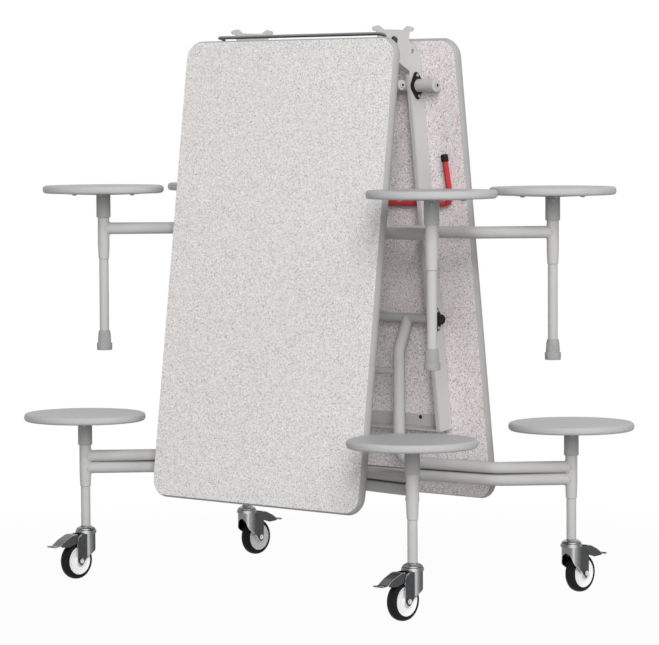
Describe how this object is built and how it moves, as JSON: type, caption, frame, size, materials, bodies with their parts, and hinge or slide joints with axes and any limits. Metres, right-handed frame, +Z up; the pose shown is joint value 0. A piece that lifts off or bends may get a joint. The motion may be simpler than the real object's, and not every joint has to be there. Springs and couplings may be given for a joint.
{
  "type": "folding table with stools",
  "caption": "Mobile folding canteen table stored upright: two hinged top halves, round stools on bent tube frames that stay level, swivel casters with brakes.",
  "frame": {"origin": "on the floor, under the centre hinge, midway along it", "axes": "+X along the centre hinge to the right as seen from the front, +Y from the front half to the rear half, +Z up"},
  "size_m": [1.509, 0.9492, 1.4753],
  "materials": {
    "speckled_laminate": "matt laminate on board",
    "grey_powder_coat": "satin",
    "grey_seat_board": "glossy laminate on board",
    "black_plastic": "satin",
    "red_lever_coat": "satin plastic dip",
    "dark_steel": "dark zinc",
    "zinc_plate": "bright zinc",
    "grey_foot_rubber": "matt",
    "white_hub": "satin"
  },
  "bodies": {
    "front_caster_stand": {"front_outer_frame": "grey_powder_coat", "front_outer_left_seat": "grey_seat_board", "front_outer_left_seat_bracket": "grey_powder_coat", "front_outer_right_seat": "grey_seat_board", "front_outer_right_seat_bracket": "grey_powder_coat"},
    "front_half": {"front_table_top": "speckled_laminate", "front_end_rail": "grey_powder_coat", "front_left_rail": "grey_powder_coat", "front_inner_left_bearing": "black_plastic", "front_outer_left_bearing": "black_plastic", "front_right_rail": "grey_powder_coat", "front_inner_right_bearing": "black_plastic", "front_outer_right_bearing": "black_plastic"},
    "rear_half": {"rear_table_top": "speckled_laminate", "rear_end_rail": "grey_powder_coat", "left_hinge_pin": "dark_steel", "right_hinge_pin": "dark_steel", "rear_left_rail": "grey_powder_coat", "rear_inner_left_bearing": "black_plastic", "rear_outer_left_bearing": "black_plastic", "rear_right_rail": "grey_powder_coat", "rear_inner_right_bearing": "black_plastic", "rear_outer_right_bearing": "black_plastic"},
    "front_stool_stand": {"front_inner_frame": "grey_powder_coat", "front_inner_left_seat": "grey_seat_board", "front_inner_left_seat_bracket": "grey_powder_coat", "front_inner_left_foot": "grey_foot_rubber", "front_inner_right_seat": "grey_seat_board", "front_inner_right_seat_bracket": "grey_powder_coat", "front_inner_right_foot": "grey_foot_rubber"},
    "rear_stool_stand": {"rear_inner_frame": "grey_powder_coat", "rear_inner_left_seat": "grey_seat_board", "rear_inner_left_seat_bracket": "grey_powder_coat", "rear_inner_left_foot": "grey_foot_rubber", "rear_inner_right_seat": "grey_seat_board", "rear_inner_right_seat_bracket": "grey_powder_coat", "rear_inner_right_foot": "grey_foot_rubber"},
    "rear_caster_stand": {"rear_outer_frame": "grey_powder_coat", "rear_outer_left_seat": "grey_seat_board", "rear_outer_left_seat_bracket": "grey_powder_coat", "rear_outer_right_seat": "grey_seat_board", "rear_outer_right_seat_bracket": "grey_powder_coat"},
    "front_link": {"front_levelling_link": "grey_powder_coat"},
    "rear_link": {"rear_levelling_link": "grey_powder_coat"},
    "latch": {"latch_bar": "dark_steel"},
    "lever": {"release_lever": "red_lever_coat", "left_lever_grip": "black_plastic", "right_lever_grip": "black_plastic"},
    "front_left_swivel": {"front_left_caster_fork": "zinc_plate"},
    "front_left_roller": {"front_left_wheel": "white_hub"},
    "front_left_brake": {"front_left_brake_pedal": "dark_steel"},
    "front_right_swivel": {"front_right_caster_fork": "zinc_plate"},
    "front_right_roller": {"front_right_wheel": "white_hub"},
    "front_right_brake": {"front_right_brake_pedal": "dark_steel"},
    "rear_left_swivel": {"rear_left_caster_fork": "zinc_plate"},
    "rear_left_roller": {"rear_left_wheel": "white_hub"},
    "rear_left_brake": {"rear_left_brake_pedal": "dark_steel"},
    "rear_right_swivel": {"rear_right_caster_fork": "zinc_plate"},
    "rear_right_roller": {"rear_right_wheel": "white_hub"},
    "rear_right_brake": {"rear_right_brake_pedal": "dark_steel"}
  },
  "joints": [
    {"name": "unfold", "type": "hinge", "parent": "front_caster_stand", "child": "front_half", "pos_m": [0, -0.16108, 0.709], "axis": [-1, 0, 0], "range_deg": [0, 83]},
    {"name": "centre_hinge", "type": "hinge", "parent": "front_half", "child": "rear_half", "pos_m": [0, 0, 1.4383], "axis": [1, 0, 0], "range_deg": [0, 166]},
    {"name": "front_stool_pivot", "type": "hinge", "parent": "front_half", "child": "front_stool_stand", "pos_m": [0, -0.08589, 1.3214], "axis": [1, 0, 0], "range_deg": [0, 83]},
    {"name": "rear_stool_pivot", "type": "hinge", "parent": "rear_half", "child": "rear_stool_stand", "pos_m": [0, 0.08589, 1.3214], "axis": [-1, 0, 0], "range_deg": [0, 83]},
    {"name": "rear_caster_pivot", "type": "hinge", "parent": "rear_half", "child": "rear_caster_stand", "pos_m": [0, 0.16108, 0.709], "axis": [-1, 0, 0], "range_deg": [0, 83]},
    {"name": "front_link_pivot", "type": "hinge", "parent": "front_caster_stand", "child": "front_link", "pos_m": [0, -0.12408, 0.569], "axis": [-1, 0, 0], "range_deg": [0, 83]},
    {"name": "rear_link_pivot", "type": "hinge", "parent": "rear_caster_stand", "child": "rear_link", "pos_m": [0, 0.12408, 0.569], "axis": [1, 0, 0], "range_deg": [0, 83]},
    {"name": "latch_swing", "type": "hinge", "parent": "front_half", "child": "latch", "pos_m": [0, -0.07752, 1.38133], "axis": [-1, 0, 0], "range_deg": [0, 19.9]},
    {"name": "lever_swing", "type": "hinge", "parent": "rear_half", "child": "lever", "pos_m": [0, 0.13985, 1.01318], "axis": [1, 0, 0], "range_deg": [0, 40]},
    {"name": "front_left_caster_swivel", "type": "hinge", "parent": "front_caster_stand", "child": "front_left_swivel", "pos_m": [-0.591, -0.31108, 0.141], "axis": [0, 0, 1], "continuous": true},
    {"name": "front_left_wheel_spin", "type": "hinge", "parent": "front_left_swivel", "child": "front_left_roller", "pos_m": [-0.591, -0.34708, 0.05], "axis": [1, 0, 0], "continuous": true},
    {"name": "front_left_pedal_press", "type": "hinge", "parent": "front_left_swivel", "child": "front_left_brake", "pos_m": [-0.591, -0.34708, 0.1167], "axis": [1, 0, 0], "range_deg": [0, 12]},
    {"name": "front_right_caster_swivel", "type": "hinge", "parent": "front_caster_stand", "child": "front_right_swivel", "pos_m": [0.591, -0.31108, 0.141], "axis": [0, 0, 1], "continuous": true},
    {"name": "front_right_wheel_spin", "type": "hinge", "parent": "front_right_swivel", "child": "front_right_roller", "pos_m": [0.591, -0.34708, 0.05], "axis": [1, 0, 0], "continuous": true},
    {"name": "front_right_pedal_press", "type": "hinge", "parent": "front_right_swivel", "child": "front_right_brake", "pos_m": [0.591, -0.34708, 0.1167], "axis": [1, 0, 0], "range_deg": [0, 12]},
    {"name": "rear_left_caster_swivel", "type": "hinge", "parent": "rear_caster_stand", "child": "rear_left_swivel", "pos_m": [-0.591, 0.31108, 0.141], "axis": [0, 0, 1], "continuous": true},
    {"name": "rear_left_wheel_spin", "type": "hinge", "parent": "rear_left_swivel", "child": "rear_left_roller", "pos_m": [-0.591, 0.34708, 0.05], "axis": [1, 0, 0], "continuous": true},
    {"name": "rear_left_pedal_press", "type": "hinge", "parent": "rear_left_swivel", "child": "rear_left_brake", "pos_m": [-0.591, 0.34708, 0.1167], "axis": [-1, 0, 0], "range_deg": [0, 12]},
    {"name": "rear_right_caster_swivel", "type": "hinge", "parent": "rear_caster_stand", "child": "rear_right_swivel", "pos_m": [0.591, 0.31108, 0.141], "axis": [0, 0, 1], "continuous": true},
    {"name": "rear_right_wheel_spin", "type": "hinge", "parent": "rear_right_swivel", "child": "rear_right_roller", "pos_m": [0.591, 0.34708, 0.05], "axis": [1, 0, 0], "continuous": true},
    {"name": "rear_right_pedal_press", "type": "hinge", "parent": "rear_right_swivel", "child": "rear_right_brake", "pos_m": [0.591, 0.34708, 0.1167], "axis": [-1, 0, 0], "range_deg": [0, 12]}
  ],
  "couplings": [
    {"joint": "centre_hinge", "follows": "unfold", "ratio": 2},
    {"joint": "front_stool_pivot", "follows": "unfold", "ratio": 1},
    {"joint": "rear_stool_pivot", "follows": "unfold", "ratio": 1},
    {"joint": "rear_caster_pivot", "follows": "unfold", "ratio": 1},
    {"joint": "front_link_pivot", "follows": "unfold", "ratio": 1},
    {"joint": "rear_link_pivot", "follows": "unfold", "ratio": 1}
  ]
}
